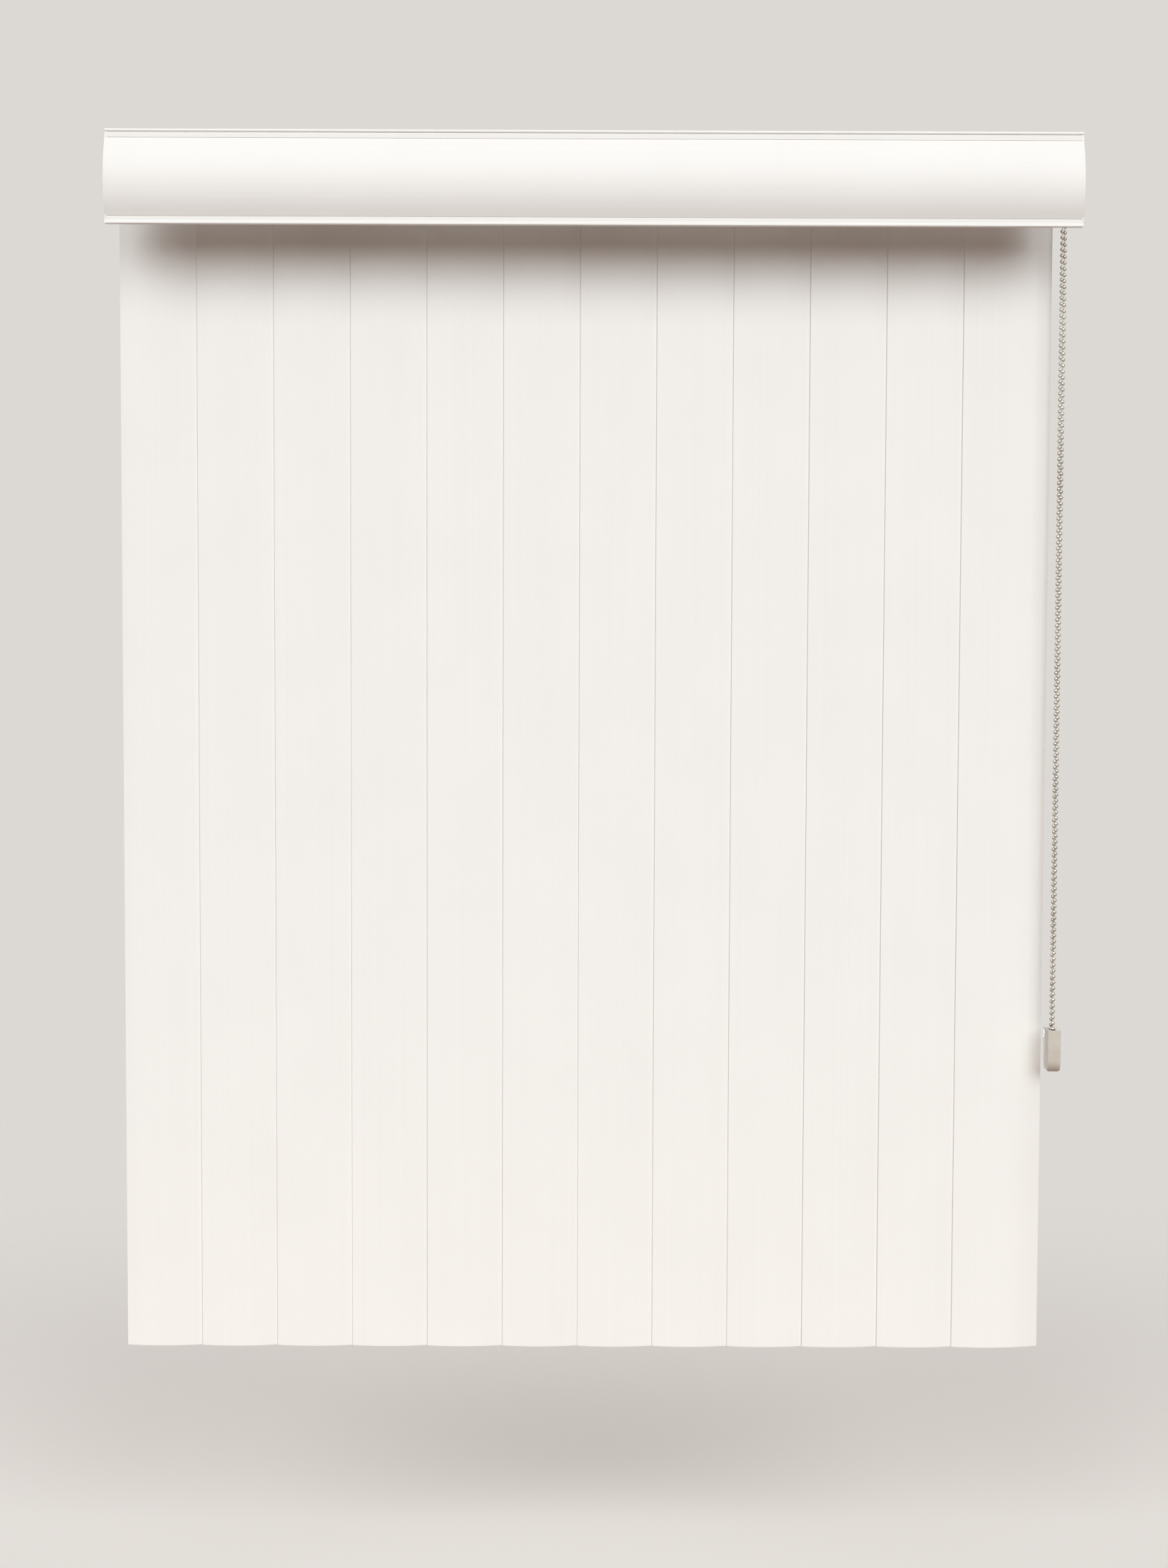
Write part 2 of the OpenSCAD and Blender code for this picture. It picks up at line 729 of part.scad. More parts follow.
// Pocketed pulley that the chain turns round inside the tensioner
module tension_pulley() {
    color(natural_plastic) translate([0, rod_y, pulley_z]) difference() {
        x_bar(chain_x - pulley_w / 2, pulley_w, pulley_r + rim_over);
        x_bar(chain_x - pulley_w, 2 * pulley_w, pin_r + run_clear);
        chain_pockets(pulley_r, pulley_pockets);
    }
}

// Steel pin of the tension pulley
module pulley_pin() {
    color(bright_steel) translate([0, rod_y, pulley_z])
        x_bar(tens_x, tens_w, pin_r);
}

// Metal lining of the tensioner's screw hole, with a flange on the tensioner's inner side
module tensioner_eyelet() {
    x0 = tens_x - eyelet_flange_t;
    length = tens_w + eyelet_flange_t;
    color(bright_steel) translate([0, eyelet_y, eyelet_z]) difference() {
        union() {
            x_bar(x0, length, eyelet_out_r);
            x_bar(x0, eyelet_flange_t, eyelet_out_r + eyelet_flange);
        }
        x_bar(x0 - overrun, length + 2 * overrun, eyelet_r);
    }
}

// Part of a section between the top and the bottom of the valance's curved face
module face_slab() {
    span([face_centre[0] - face_r - overrun, face_bottom], [back_y, face_top]);
}

// Bead along the valance's top edge
module bead_outline() {
    translate([face_top_y + valance_bead / 2 - valance_lip_out, valance_top - valance_bead / 2])
        circle(valance_bead / 2, $fn = round_fn);
}

// Lines sunk between the valance's bead, bands and curved face
module face_lines() {
    groove_z = valance_top - valance_bead - valance_groove;
    span([face_top_y - overrun, groove_z], [face_top_y + valance_cut, groove_z + valance_groove]);
    span([face_top_y - overrun, face_top], [face_top_y + valance_cut, face_top + valance_line]);
    span([face_bottom_y - overrun, face_bottom - valance_line], [face_bottom_y + valance_cut, face_bottom]);
}

// Section of the valance: curved face, flat bands, and hooked flanges behind
module valance_section() {
    hook_y = back_y - valance_hook_t;
    difference() {
        union() {
            intersection() {
                difference() {
                    translate(face_centre) circle(face_r, $fn = arc_fn);
                    translate(face_centre) circle(face_r - valance_wall, $fn = arc_fn);
                }
                face_slab();
            }
            span([face_top_y, face_top], [face_top_y + valance_wall, valance_top]);
            span([face_bottom_y, valance_bottom], [face_bottom_y + valance_wall, face_bottom]);
        }
        face_lines();
    }
    bead_outline();
    span([face_top_y, valance_top - valance_wall], [back_y, valance_top]);
    span([hook_y, valance_top - valance_hook_h], [back_y, valance_top]);
    span([face_bottom_y - valance_lip_out, valance_bottom], [back_y, valance_bottom + valance_lip_h]);
    span([hook_y, valance_bottom], [back_y, valance_bottom + valance_hook_h]);
}

// Extruded front that hides the headrail
module valance() {
    x0 = valance_x0 + valance_cap_t;
    color(valance_colour) along_x(x0, valance_x1 - valance_cap_t - x0) valance_section();
}

// End cap of the valance: a plate to its outline, and a tongue behind its face
module valance_cap(x, tongue_x) {
    tongue_r = face_r - valance_wall - seat_clear;
    color(valance_colour) {
        along_x(x, valance_cap_t) {
            intersection() {
                translate(face_centre) circle(face_r, $fn = arc_fn);
                face_slab();
            }
            span([face_top_y, face_top], [back_y, valance_top]);
            span([face_bottom_y, valance_bottom], [back_y, face_bottom]);
            span([face_bottom_y - valance_lip_out, valance_bottom], [back_y, valance_bottom + valance_lip_h]);
            bead_outline();
        }
        along_x(tongue_x, cap_tongue_len) intersection() {
            difference() {
                translate(face_centre) circle(tongue_r, $fn = arc_fn);
                translate(face_centre) circle(tongue_r - cap_tongue_t, $fn = arc_fn);
            }
            span([face_centre[0] - face_r, face_bottom + cap_tongue_inset],
                 [back_y, face_top - cap_tongue_inset]);
        }
    }
}

module valance_cap_left() {
    valance_cap(valance_x0, valance_x0 + valance_cap_t);
}

module valance_cap_right() {
    valance_cap(valance_x1 - valance_cap_t, valance_x1 - valance_cap_t - cap_tongue_len);
}

// Section of a clip: a jaw on the headrail's front ledge, an arm, and two fingers behind the valance
module clip_section() {
    ledge_z = rail_top - rail_wall - slide_clear;
    high_z = valance_top - valance_hook_h - slide_clear;
    low_z = valance_bottom + valance_hook_h + slide_clear;
    back = clip_y + clip_t;
    span([clip_jaw_y - clip_t, rail_top], [-rail_w / 2 + clip_grip, rail_top + clip_t]);
    span([clip_jaw_y - clip_t, clip_arm_z - clip_t], [clip_jaw_y, rail_top + clip_t]);
    span([clip_jaw_y - clip_t, ledge_z - clip_t], [-rail_w / 2 - slide_clear, ledge_z]);
    span([clip_y, clip_arm_z - clip_t], [clip_jaw_y, clip_arm_z]);
    span([clip_y, low_z], [back, clip_arm_z]);
    span([clip_finger_y, high_z - clip_t], [back, high_z]);
    span([clip_finger_y, high_z - clip_t], [clip_finger_y + clip_t, valance_top - valance_wall - clip_t]);
    span([clip_finger_y, low_z], [back, low_z + clip_t]);
    span([clip_finger_y, valance_bottom + valance_lip_h + clip_t], [clip_finger_y + clip_t, low_z + clip_t]);
}

// Web in the corner between a clip's arm and its back, which keeps the arm level
module clip_rib() {
    root_y = clip_y + clip_t / 2;
    under_z = clip_arm_z - clip_t;
    polygon([
        [root_y, under_z + clip_t / 2],
        [clip_jaw_y - clip_t, under_z + clip_t / 2],
        [clip_jaw_y - clip_t, under_z],
        [clip_y + clip_t, under_z - clip_rib_h],
        [root_y, under_z - clip_rib_h]]);
}

// Clips that carry the valance on the headrail
module valance_clips() {
    color(white_plastic)
        for (x = clip_spacing * [-1, 0, 1]) {
            along_x(x - clip_len / 2, clip_len) clip_section();
            along_x(x - clip_rib_t / 2, clip_rib_t) clip_rib();
        }
}

for (i = [1 : vane_count]) {
    vane(i);
    hanger(i);
    carrier(i);
}
headrail();
mounting_brackets();
carrier_wheels();
spacer_links();
tilt_rod();
drive_worms();
rod_bush();
idle_end_cap();
control_housing();
control_cover();
cover_screws();
chain_wheel();
bead_chain();
tensioner_body();
tension_pulley();
pulley_pin();
tensioner_eyelet();
valance();
valance_cap_left();
valance_cap_right();
valance_clips();
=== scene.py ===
# Vertical blind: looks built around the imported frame
import math
import bpy
from mathutils import Matrix, Vector


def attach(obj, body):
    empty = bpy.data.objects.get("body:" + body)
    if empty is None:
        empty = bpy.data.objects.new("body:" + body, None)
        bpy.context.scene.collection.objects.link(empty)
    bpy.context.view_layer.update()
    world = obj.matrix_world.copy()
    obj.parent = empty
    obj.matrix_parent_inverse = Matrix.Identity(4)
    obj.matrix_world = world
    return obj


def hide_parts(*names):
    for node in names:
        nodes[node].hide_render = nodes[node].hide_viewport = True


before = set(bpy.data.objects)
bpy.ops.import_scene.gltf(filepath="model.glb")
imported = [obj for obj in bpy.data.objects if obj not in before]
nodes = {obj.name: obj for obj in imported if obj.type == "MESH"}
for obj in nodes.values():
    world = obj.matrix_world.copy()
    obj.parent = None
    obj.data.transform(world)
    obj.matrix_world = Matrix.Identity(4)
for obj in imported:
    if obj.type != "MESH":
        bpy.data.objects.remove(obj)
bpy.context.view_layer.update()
scene = bpy.context.scene
mm = 0.001
sameSpot = 0.01 * mm  # points nearer than this are one place
print("frame loaded:", len(nodes), "nodes")


# Camera at the photograph's viewpoint, with its focal length in pixels of the tall side
cameraFit = {"place": (-0.0084, -3.0, -0.436), "yaw": 0.14, "pitch": -4.1, "roll": 0.2,
             "focalPixels": 4168, "tallPixels": 2217, "sensor": 36}


def makeCamera(fit):
    yaw, pitch, roll = (math.radians(fit[k]) for k in ("yaw", "pitch", "roll"))
    ahead = Vector((math.sin(yaw) * math.cos(pitch), math.cos(yaw) * math.cos(pitch), math.sin(pitch)))
    right = Vector((math.cos(yaw), -math.sin(yaw), 0))
    up = right.cross(ahead)
    right, up = (math.cos(roll) * right + math.sin(roll) * up,
                 math.cos(roll) * up - math.sin(roll) * right)
    data = bpy.data.cameras.new("photoCamera")
    data.sensor_width = fit["sensor"]  # taken by the tall side
    data.lens = fit["focalPixels"] / fit["tallPixels"] * fit["sensor"]
    camera = bpy.data.objects.new("photoCamera", data)
    scene.collection.objects.link(camera)
    turn = Matrix((right, up, -ahead)).transposed()
    camera.matrix_world = Matrix.Translation(fit["place"]) @ turn.to_4x4()
    scene.camera = camera


makeCamera(cameraFit)
print("camera set")


def linear(hexColour):
    # sRGB hex to linear
    parts = [int(hexColour[k:k + 2], 16) / 255 for k in (1, 3, 5)]
    return [p / 12.92 if p <= 0.04045 else ((p + 0.055) / 1.055) ** 2.4 for p in parts] + [1]


def addNode(tree, kind, settings=None, values=None, links=None):
    node = tree.nodes.new("ShaderNode" + kind)
    for name, value in (settings or {}).items():
        setattr(node, name, value)
    for name, value in (values or {}).items():
        node.inputs[name].default_value = value
    for name, source in (links or {}).items():
        tree.links.new(source, node.inputs[name])
    return node


def per(size):
    # pattern repeats for each metre, from a size in millimetres
    return 1000 / size


# shared by all finishes: how rich each noise is, and the part of its range that tones and gloss span
noiseLook = {"streakDetail": 3, "streakRough": 0.6, "softDetail": 2,
             "toneSpan": (0.32, 0.68), "glossSpan": (0.3, 0.7)}


def makeFinish(look):
    # one finish: two close tones along its streaks, a slower drift of tone, and a fine relief
    material = bpy.data.materials.new(look["name"])
    material.use_nodes = True
    tree = material.node_tree
    tree.nodes.clear()
    place = addNode(tree, "TexCoord").outputs["Object"]
    streakMap = addNode(tree, "Mapping", values={"Scale": [per(size) for size in look["streak"]]},
                        links={"Vector": place})
    streak = addNode(tree, "TexNoise", links={"Vector": streakMap.outputs[0]},
                     values={"Scale": 1, "Detail": noiseLook["streakDetail"],
                             "Roughness": noiseLook["streakRough"]})
    drift = addNode(tree, "TexNoise", links={"Vector": place},
                    values={"Scale": per(look["drift"]), "Detail": noiseLook["softDetail"]})
    blend = addNode(tree, "Mix", {"data_type": "FLOAT"}, {0: look["driftShare"]},
                    {2: streak.outputs["Fac"], 3: drift.outputs["Fac"]})
    tone = addNode(tree, "ValToRGB", links={"Fac": blend.outputs[0]})
    low, high = tone.color_ramp.elements
    low.position, high.position = noiseLook["toneSpan"]
    low.color, high.color = linear(look["dark"]), linear(look["light"])
    gloss = addNode(tree, "MapRange", links={"Value": streak.outputs["Fac"]},
                    values={"From Min": noiseLook["glossSpan"][0], "From Max": noiseLook["glossSpan"][1],
                            "To Min": look["rough"][0], "To Max": look["rough"][1]})
    grain = addNode(tree, "TexNoise", links={"Vector": place},
                    values={"Scale": per(look["grain"]), "Detail": noiseLook["softDetail"]})
    relief = addNode(tree, "Mix", {"data_type": "FLOAT"}, {0: look["grainShare"]},
                     {2: streak.outputs["Fac"], 3: grain.outputs["Fac"]})
    bump = addNode(tree, "Bump", values={"Strength": look["bump"], "Distance": look["bumpDepth"] * mm},
                   links={"Height": relief.outputs[0]})
    shader = addNode(tree, "BsdfPrincipled", values={"Metallic": look["metal"]},
                     links={"Base Color": tone.outputs["Color"], "Roughness": gloss.outputs[0],
                            "Normal": bump.outputs[0]})
    if not look["metal"]:
        shader.inputs["IOR"].default_value = look["ior"]
    addNode(tree, "OutputMaterial", links={"Surface": shader.outputs[0]})
    return material


# Sizes in mm along X, Y and Z. Streaks narrower than about 2 mm would be lost in the picture, so the
# drawing lines of extruded pieces are drawn a few times wider than they are.
finishes = {
    # rigid PVC, extruded: off-white, half matt, faint drawing lines down its length
    "vane": {"name": "extrudedRigidPvc", "dark": "#eeebe8", "light": "#f1eeeb", "streak": (3, 3, 700),
             "drift": 90, "driftShare": 0.5, "rough": (0.42, 0.5), "grain": 1.2, "grainShare": 0.75,
             "bump": 0.05, "bumpDepth": 0.04, "metal": 0, "ior": 1.53},
    # the same PVC drawn along the valance: a little whiter and smoother
    "valance": {"name": "extrudedWhitePvc", "dark": "#edeae7", "light": "#f1eeeb", "streak": (700, 2.5, 2.5),
                "drift": 120, "driftShare": 0.5, "rough": (0.5, 0.58), "grain": 1, "grainShare": 0.25,
                "bump": 0.1, "bumpDepth": 0.04, "metal": 0, "ior": 1.53},
    # ABS, moulded with a spark-eroded grain: warm light grey
    "tensioner": {"name": "mouldedGreyAbs", "dark": "#bdb4a9", "light": "#cbc3b9", "streak": (2, 2, 2),
                  "drift": 14, "driftShare": 0.6, "rough": (0.42, 0.55), "grain": 0.5, "grainShare": 0.8,
                  "bump": 0.25, "bumpDepth": 0.04, "metal": 0, "ior": 1.54},
    # steel beads, nickel plated and tumbled: bright with soft scuffs
    "chain": {"name": "nickelPlatedSteel", "dark": "#a39b92", "light": "#c9c3bb", "streak": (1.2, 1.2, 1.2),
              "drift": 40, "driftShare": 0.5, "rough": (0.22, 0.38), "grain": 0.6, "grainShare": 0.6,
              "bump": 0.08, "bumpDepth": 0.03, "metal": 1},
    # aluminium, extruded and clear anodised: satin with drawing lines along the rail
    "rail": {"name": "anodisedAluminium", "dark": "#a5a8aa", "light": "#babcbe", "streak": (900, 1.8, 1.8),
             "drift": 160, "driftShare": 0.4, "rough": (0.44, 0.58), "grain": 0.8, "grainShare": 0.3,
             "bump": 0.12, "bumpDepth": 0.03, "metal": 1},
    # steel strip, pressed and zinc plated: cool grey with broad cloudy patches
    "bracket": {"name": "zincPlatedSteel", "dark": "#8f9598", "light": "#b0b5b8", "streak": (9, 9, 9),
                "drift": 5, "driftShare": 0.5, "rough": (0.38, 0.54), "grain": 0.7, "grainShare": 0.5,
                "bump": 0.1, "bumpDepth": 0.03, "metal": 1},
    # stainless strip, rolled: fine lines along its length
    "spacer": {"name": "rolledStainlessStrip", "dark": "#a9abac", "light": "#c6c7c8", "streak": (60, 0.8, 0.8),
               "drift": 30, "driftShare": 0.3, "rough": (0.22, 0.38), "grain": 0.5, "grainShare": 0.3,
               "bump": 0.08, "bumpDepth": 0.02, "metal": 1},
    # steel pins and screws, turned and nickel plated
    "steel": {"name": "turnedBrightSteel", "dark": "#aeb1b3", "light": "#cacccd", "streak": (0.8, 3, 3),
              "drift": 6, "driftShare": 0.4, "rough": (0.2, 0.34), "grain": 0.4, "grainShare": 0.4,
              "bump": 0.08, "bumpDepth": 0.02, "metal": 1},
    # brass eyelet, spun over and nickel plated: the brightest metal here
    "eyelet": {"name": "nickelPlatedBrass", "dark": "#d3d6da", "light": "#e8ebee", "streak": (0.8, 3, 3),
               "drift": 6, "driftShare": 0.4, "rough": (0.16, 0.28), "grain": 0.4, "grainShare": 0.4,
               "bump": 0.06, "bumpDepth": 0.02, "metal": 1},
    # acetal in its natural colour, moulded: waxy cream
    "natural": {"name": "mouldedNaturalAcetal", "dark": "#d9d3c4", "light": "#e6e1d4", "streak": (4, 4, 4),
                "drift": 12, "driftShare": 0.5, "rough": (0.32, 0.44), "grain": 0.7, "grainShare": 0.7,
                "bump": 0.12, "bumpDepth": 0.03, "metal": 0, "ior": 1.48},
    # acetal, white, moulded with a fine grain
    "carrier": {"name": "mouldedWhiteAcetal", "dark": "#e2e1dd", "light": "#ecebe8", "streak": (4, 4, 4),
                "drift": 16, "driftShare": 0.5, "rough": (0.34, 0.46), "grain": 0.7, "grainShare": 0.7,
                "bump": 0.15, "bumpDepth": 0.03, "metal": 0, "ior": 1.48},
    # ABS, white, moulded: the end fittings and the clips
    "fitting": {"name": "mouldedWhiteAbs", "dark": "#e6e4df", "light": "#f0eeea", "streak": (3, 3, 3),
                "drift": 20, "driftShare": 0.5, "rough": (0.36, 0.48), "grain": 0.6, "grainShare": 0.8,
                "bump": 0.18, "bumpDepth": 0.03, "metal": 0, "ior": 1.54},
}
finish = {key: makeFinish(look) for key, look in finishes.items()}
print("finishes made:", len(finish))


def pick(*objs):
    # selects only these, the last one active
    bpy.ops.object.select_all(action="DESELECT")
    for obj in objs:
        obj.select_set(True)
    bpy.context.view_layer.objects.active = objs[-1]


def newest(name):
    # names what was just added or copied
    obj = bpy.context.object
    obj.name = obj.data.name = name
    return obj


def settle(obj):
    # puts place, turn and scale into the mesh
    pick(obj)
    bpy.ops.object.transform_apply(location=True, rotation=True, scale=True)


def modify(obj, kind, **settings):
    pick(obj)
    modifier = obj.modifiers.new(kind, kind)
    for name, value in settings.items():
        setattr(modifier, name, value)
    bpy.ops.object.modifier_apply(modifier=modifier.name)


def smooth(obj, angle):
    pick(obj)
    bpy.ops.object.shade_smooth_by_angle(angle=math.radians(angle))


def edit(obj, mode, wanted):
    # enters edit mode with the vertices, edges or faces that wanted accepts, by their middle
    pick(obj)
    bpy.ops.object.mode_set(mode="EDIT")
    bpy.ops.mesh.select_mode(type=mode)
    bpy.ops.mesh.select_all(action="DESELECT")
    bpy.ops.object.mode_set(mode="OBJECT")
    points = obj.data.vertices
    if mode == "VERT":
        for v in points:
            v.select = wanted(v.co)
    elif mode == "EDGE":
        for e in obj.data.edges:
            e.select = wanted((points[e.vertices[0]].co + points[e.vertices[1]].co) / 2)
    else:
        for p in obj.data.polygons:
            p.select = wanted(p.center)
    bpy.ops.object.mode_set(mode="EDIT")


def done():
    bpy.ops.object.mode_set(mode="OBJECT")


def dress(obj, body, finishKey, slot, *replaced):
    # a finished piece: its finish, the body it moves with, and the nodes it stands for
    settle(obj)
    obj.data.materials.clear()
    obj.data.materials.append(finish[finishKey])
    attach(obj, body)
    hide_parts(*replaced)


# Curved vanes: each hangs with a slight twist of its own, in degrees at its lower end
vaneLook = {"count": 12, "width": 89 * mm, "rise": 6 * mm, "thick": 0.8 * mm, "length": 1194 * mm,
            "top": -40.4 * mm, "pitch": 77.5 * mm, "tilt": 3.3333, "columns": 20, "rows": 18,
            "slotWidth": 12 * mm, "slotHeight": 3.4 * mm, "slotEdge": 9 * mm,
            "punchSides": 24, "punchReach": 6.4 * mm, "rimRound": 0.2 * mm, "rimSteps": 2, "rimAngle": 50,
            "smoothAngle": 40,
            "twist": (0.25, -0.3, 0.35, 0.1, -0.25, 0.2, 0.4, -0.15, 0.3, -0.35, 0.15, -0.2)}


def makeVane(look):
    radius = look["width"] ** 2 / (8 * look["rise"]) + look["rise"] / 2
    sweep = 2 * math.asin(look["width"] / 2 / radius)
    bpy.ops.object.select_all(action="DESELECT")
    bpy.ops.mesh.primitive_grid_add(x_subdivisions=look["columns"], y_subdivisions=look["rows"], size=1,
                                    rotation=(math.pi / 2, 0, 0))
    vane = newest("vaneMaster")
    vane.scale = (radius * sweep, look["length"], 1)
    settle(vane)
    modify(vane, "SIMPLE_DEFORM", deform_method="BEND", deform_axis="Z", angle=sweep)
    modify(vane, "SOLIDIFY", thickness=look["thick"], offset=0, use_even_offset=True)
    modify(vane, "BEVEL", width=look["rimRound"], segments=look["rimSteps"], limit_method="ANGLE",
           angle_limit=math.radians(look["rimAngle"]))
    # the punched slot that the hanger's nib passes through
    endRadius = look["slotHeight"] / 2
    reach = look["slotWidth"] / 2 - endRadius
    slotZ = look["length"] / 2 - look["slotEdge"] - endRadius
    bpy.ops.object.select_all(action="DESELECT")
    bpy.ops.mesh.primitive_cylinder_add(vertices=look["punchSides"], radius=endRadius, depth=look["punchReach"],
                                        location=(0, 0, slotZ), rotation=(math.pi / 2, 0, 0))
    punch = newest("slotPunch")
    settle(punch)
    for side in (-1, 1):
        edit(punch, "VERT", lambda co, s=side: co.x * s > sameSpot)
        bpy.ops.transform.translate(value=(side * reach, 0, 0))
        done()
    modify(vane, "BOOLEAN", object=punch, operation="DIFFERENCE", solver="EXACT")
    bpy.data.objects.remove(punch)
    edit(vane, "VERT", lambda co: True)
    bpy.ops.transform.translate(value=(0, 0, -look["length"] / 2))  # its top edge comes to the origin
    done()
    return vane


vaneMaster = makeVane(vaneLook)
for number in range(1, vaneLook["count"] + 1):
    pick(vaneMaster)
    bpy.ops.object.duplicate(linked=False)
    vane = newest("vaneSheet_%02d" % number)
    modify(vane, "SIMPLE_DEFORM", deform_method="TWIST", deform_axis="Z",
           angle=math.radians(vaneLook["twist"][number - 1]))
    vane.location = ((number - (vaneLook["count"] + 1) / 2) * vaneLook["pitch"], 0, vaneLook["top"])
    vane.rotation_euler = (0, 0, math.radians(vaneLook["tilt"]))
    smooth(vane, vaneLook["smoothAngle"])
    modify(vane, "WEIGHTED_NORMAL", keep_sharp=True)  # the rims' roundings don't shade the faces
    dress(vane, "turning_vane_%02d" % number, "vane", "vane", "vane_%02d" % number)
bpy.data.objects.remove(vaneMaster)
print("vanes made:", vaneLook["count"])


# Endless bead chain over the chain wheel and under the tension pulley, in the plane x
chainLook = {"x": 478.4 * mm, "wheelY": -10.7296 * mm, "wheelZ": -17 * mm, "drop": 911.9926 * mm,
             "pitch": 6 * mm, "beadRadius": 2.25 * mm, "wireRadius": 0.55 * mm,
             "wheelPockets": 9, "pulleyPockets": 5, "frontLinks": 152, "backLinks": 153,
             "beadSides": 10, "beadRings": 6, "beadSmooth": 60, "dimple": 0.86,
             "wireSides": 6, "wireSmooth": 80, "wireFit": (0.8, 0.8, 0.7)}


def makeLink(look):
    # one bead with the wire that goes down to the next
    bpy.ops.object.select_all(action="DESELECT")
    bpy.ops.mesh.primitive_uv_sphere_add(segments=look["beadSides"], ring_count=look["beadRings"],
                                         radius=look["beadRadius"])
    bead = newest("chainLink")
    edit(bead, "VERT", lambda co: abs(co.z) > look["beadRadius"] - sameSpot)
    bpy.ops.transform.resize(value=(1, 1, look["dimple"]))  # the dimple round the wire's hole
    done()
    smooth(bead, look["beadSmooth"])
    bpy.ops.object.select_all(action="DESELECT")
    middle = -look["pitch"] / 2
    bpy.ops.mesh.primitive_cylinder_add(vertices=look["wireSides"], radius=look["wireRadius"],
                                        depth=look["pitch"], end_fill_type="NOTHING", location=(0, 0, middle))
    wire = newest("chainWire")
    edit(wire, "VERT", lambda co: True)
    # its ends stay inside the beads
    bpy.ops.transform.resize(value=look["wireFit"], center_override=(0, 0, middle))
    done()
    smooth(wire, look["wireSmooth"])
    pick(wire, bead)
    bpy.ops.object.join()
    return bead


def makeChain(look):
    def ring(pockets, turn):
        radius = look["pitch"] / (2 * math.sin(math.pi / pockets))
        angle = turn * 2 * math.pi / pockets
        return -radius * math.cos(angle), radius * math.sin(angle)

    wheel = [ring(look["wheelPockets"], k) for k in range(look["wheelPockets"] // 2 + 1)]
    pulley = [ring(look["pulleyPockets"], k) for k in range(look["pulleyPockets"] // 2 + 1)]
    pulley = [(y, -look["drop"] - z) for y, z in pulley]
    runs = [(wheel[0], pulley[0], look["frontLinks"]), (pulley[-1], wheel[-1], look["backLinks"])]
    runs += [(a, b, 1) for a, b in zip(pulley, pulley[1:])]
    runs += [(b, a, 1) for a, b in zip(wheel, wheel[1:])]
    link = makeLink(look)
    parts = []
    for start, end, links in runs:
        pick(link)
        bpy.ops.object.duplicate(linked=False)
        run = newest("chainRun")
        if links > 1:
            step = math.dist(start, end) / links
            modify(run, "ARRAY", count=links, use_relative_offset=False, use_constant_offset=True,
                   constant_offset_displace=(0, 0, -step))
        run.rotation_euler = (math.atan2(end[0] - start[0], start[1] - end[1]), 0, 0)
        run.location = (look["x"], look["wheelY"] + start[0], look["wheelZ"] + start[1])
        settle(run)
        parts.append(run)
    bpy.data.objects.remove(link)
    pick(*parts)
    bpy.ops.object.join()
    return newest("beadLoop")


beadLoop = makeChain(chainLook)
dress(beadLoop, "headrail_assembly", "chain", "chain", "bead_chain")
print("chain made:", len(beadLoop.data.polygons), "faces")


# Rigid pieces with the small roundings that moulding, pressing or extruding leaves on their edges, in mm
roundedLook = {
    "valance": ("valanceFront", 0.22, "valance", "valance"),
    "valance_cap_left": ("valanceEndLeft", 0.35, "valance", "valance"),
    "valance_cap_right": ("valanceEndRight", 0.35, "valance", "valance"),
    "tensioner_body": ("tensionerShell", 0.5, "tensioner", "tensioner"),
    "tensioner_eyelet": ("tensionerEyelet", 0.25, "eyelet", "steel"),
    "headrail": ("headrailChannel", 0.25, "rail", "rail"),
    "mounting_brackets": ("mountingBracketPair", 0.3, "bracket", "bracket"),
    "control_housing": ("controlHousing", 0.35, "fitting", "end_fitting"),
    "control_cover": ("controlCover", 0.35, "fitting", "end_fitting"),
    "idle_end_cap": ("idleEndCap", 0.35, "fitting", "end_fitting"),
    "valance_clips": ("valanceClipSet", 0.2, "fitting", "clip"),
}
# only the edges above this height, in mm, are rounded on these pieces: the tensioner's top rim
roundedAbove = {"tensioner_body": -901}
# how the edges are found and rounded, in mm and degrees
roundingWork = {"merge": 0.001, "flat": 0.5, "sharp": 40, "steps": 2, "smooth": 32}


def roundedCopy(source, name, rounding, work):
    copy = bpy.data.objects.new(name, nodes[source].data.copy())
    copy.data.name = name
    scene.collection.objects.link(copy)
    pick(copy)
    bpy.ops.mesh.customdata_custom_splitnormals_clear()
    edit(copy, "VERT", lambda co: True)
    bpy.ops.mesh.remove_doubles(threshold=work["merge"] * mm)
    bpy.ops.mesh.dissolve_limited(angle_limit=math.radians(work["flat"]))
    done()
    lowest = roundedAbove.get(source, -math.inf) * mm
    edit(copy, "EDGE", lambda co: False)
    bpy.ops.mesh.edges_select_sharp(sharpness=math.radians(work["sharp"]))
    done()
    points = copy.data.vertices
    for e in copy.data.edges:
        height = (points[e.vertices[0]].co.z + points[e.vertices[1]].co.z) / 2
        e.select = e.select and height > lowest
    bpy.ops.object.mode_set(mode="EDIT")
    bpy.ops.mesh.bevel(offset=rounding * mm, segments=work["steps"], affect="EDGES", clamp_overlap=True)
    done()
    smooth(copy, work["smooth"])
    modify(copy, "WEIGHTED_NORMAL", keep_sharp=True)  # flat faces stay flat beside their roundings
    return copy


for source, (name, rounding, finishKey, slot) in roundedLook.items():
    piece = roundedCopy(source, name, rounding, roundingWork)
    dress(piece, "headrail_assembly", finishKey, slot, source)
print("rounded pieces made:", len(roundedLook))


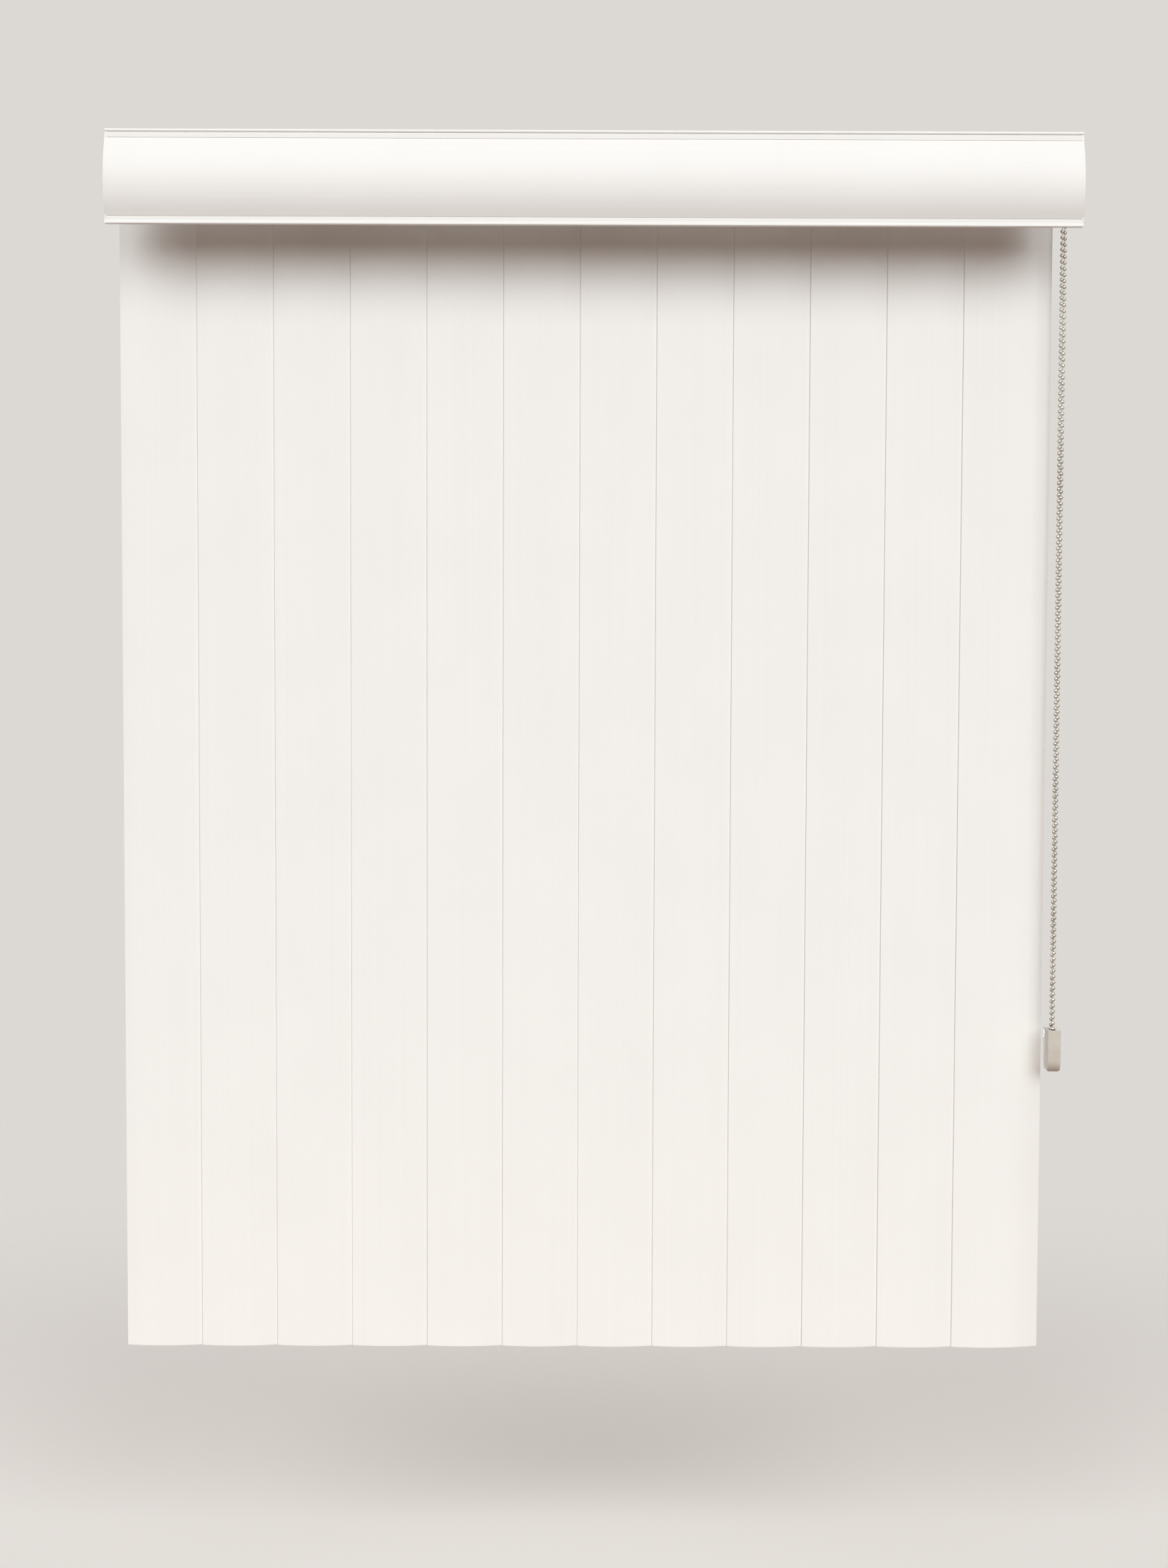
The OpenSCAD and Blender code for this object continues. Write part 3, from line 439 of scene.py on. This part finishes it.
# CAD nodes whose shape is right keep it and get a finish
nodeFinish = {"hanger": "natural", "carrier_wheels": "natural", "carrier": "carrier", "spacer_links": "spacer",
              "tilt_rod": "rail", "drive_worms": "natural", "rod_bush": "natural", "cover_screws": "steel",
              "chain_wheel": "natural", "tension_pulley": "natural", "pulley_pin": "steel"}
for name, node in nodes.items():
    key = name if name in nodeFinish else name.rsplit("_", 1)[0]
    if key in nodeFinish:
        for materialSlot in node.material_slots:
            materialSlot.material = finish[nodeFinish[key]]
print("node finishes set")


# Plain pale floor that fades out into the background, and plain soft light from above
stageLook = {"floorZ": -1.5, "floorSize": 8, "floorSides": 64, "floor": "#dfdad5", "floorBounce": "#9a8066",
             "floorRough": 0.8, "fadeFrom": 0.6, "fadeTo": 2.4, "background": "#dcd9d5", "backgroundLevel": 1,
             "ambient": "#b5703c", "ambientLevel": 0.2}
# where each lamp's light comes from, in degrees from straight ahead and above level, and how wide it is
lampLook = {
    "leftSoftKey": {"bearing": -28, "height": 24, "width": 38, "strength": 1.6, "colour": "#f4fbfd"},
    "rightSoftKey": {"bearing": 28, "height": 24, "width": 38, "strength": 1.6, "colour": "#f4fbfd"},
    "highSoftFill": {"bearing": 0, "height": 48, "width": 54, "strength": 0.6, "colour": "#f4fbfd"},
    "backSoftFill": {"bearing": 200, "height": 28, "width": 110, "strength": 2.4, "colour": "#f4fbfd"},
}


def seenRay(tree):
    # 1 where the camera looks, straight or by a mirror or glass, and 0 for light that bounces
    light = addNode(tree, "LightPath")
    seen = addNode(tree, "Math", {"operation": "MAXIMUM"},
                   links={0: light.outputs["Is Camera Ray"], 1: light.outputs["Is Glossy Ray"]})
    seen = addNode(tree, "Math", {"operation": "MAXIMUM"},
                   links={0: seen.outputs[0], 1: light.outputs["Is Transmission Ray"]})
    return seen.outputs[0]


def makeStage(look):
    bpy.ops.object.select_all(action="DESELECT")
    bpy.ops.mesh.primitive_circle_add(vertices=look["floorSides"], radius=look["floorSize"] / 2,
                                      fill_type="NGON", location=(0, 0, look["floorZ"]))
    floor = newest("studioFloor")
    settle(floor)
    material = bpy.data.materials.new("paleFloor")
    material.use_nodes = True
    tree = material.node_tree
    tree.nodes.clear()
    place = addNode(tree, "TexCoord").outputs["Object"]
    away = addNode(tree, "VectorMath", {"operation": "LENGTH"}, links={0: place})
    fade = addNode(tree, "MapRange", {"interpolation_type": "SMOOTHSTEP"},
                   {"From Min": math.hypot(look["fadeFrom"], look["floorZ"]),
                    "From Max": math.hypot(look["fadeTo"], look["floorZ"])}, {"Value": away.outputs["Value"]})
    tone = addNode(tree, "Mix", {"data_type": "RGBA"},
                   {6: linear(look["floorBounce"]), 7: linear(look["floor"])}, {0: seenRay(tree)})
    matt = addNode(tree, "BsdfPrincipled", values={"Roughness": look["floorRough"]},
                   links={"Base Color": tone.outputs[2]})
    clear = addNode(tree, "BsdfTransparent")
    mix = addNode(tree, "MixShader", links={0: fade.outputs[0], 1: matt.outputs[0], 2: clear.outputs[0]})
    addNode(tree, "OutputMaterial", links={"Surface": mix.outputs[0]})
    floor.data.materials.append(material)

    world = bpy.data.worlds.new("studio")
    scene.world = world
    world.use_nodes = True
    tree = world.node_tree
    tree.nodes.clear()
    ambient = addNode(tree, "Background",
                      values={"Color": linear(look["ambient"]), "Strength": look["ambientLevel"]})
    shown = addNode(tree, "Background",
                    values={"Color": linear(look["background"]), "Strength": look["backgroundLevel"]})
    mix = addNode(tree, "MixShader", links={0: seenRay(tree), 1: ambient.outputs[0], 2: shown.outputs[0]})
    addNode(tree, "OutputWorld", links={"Surface": mix.outputs[0]})


def makeLamps(looks):
    for name, look in looks.items():
        data = bpy.data.lights.new(name, "SUN")
        data.energy = look["strength"]
        data.color = linear(look["colour"])[:3]
        data.angle = math.radians(look["width"])
        lamp = bpy.data.objects.new(name, data)
        # a lamp without a turn shines straight down
        lamp.rotation_euler = (math.radians(90 - look["height"]), 0, math.radians(look["bearing"]))
        scene.collection.objects.link(lamp)


makeStage(stageLook)
makeLamps(lampLook)
scene.view_settings.view_transform = "Standard"
print("stage and lamps set")
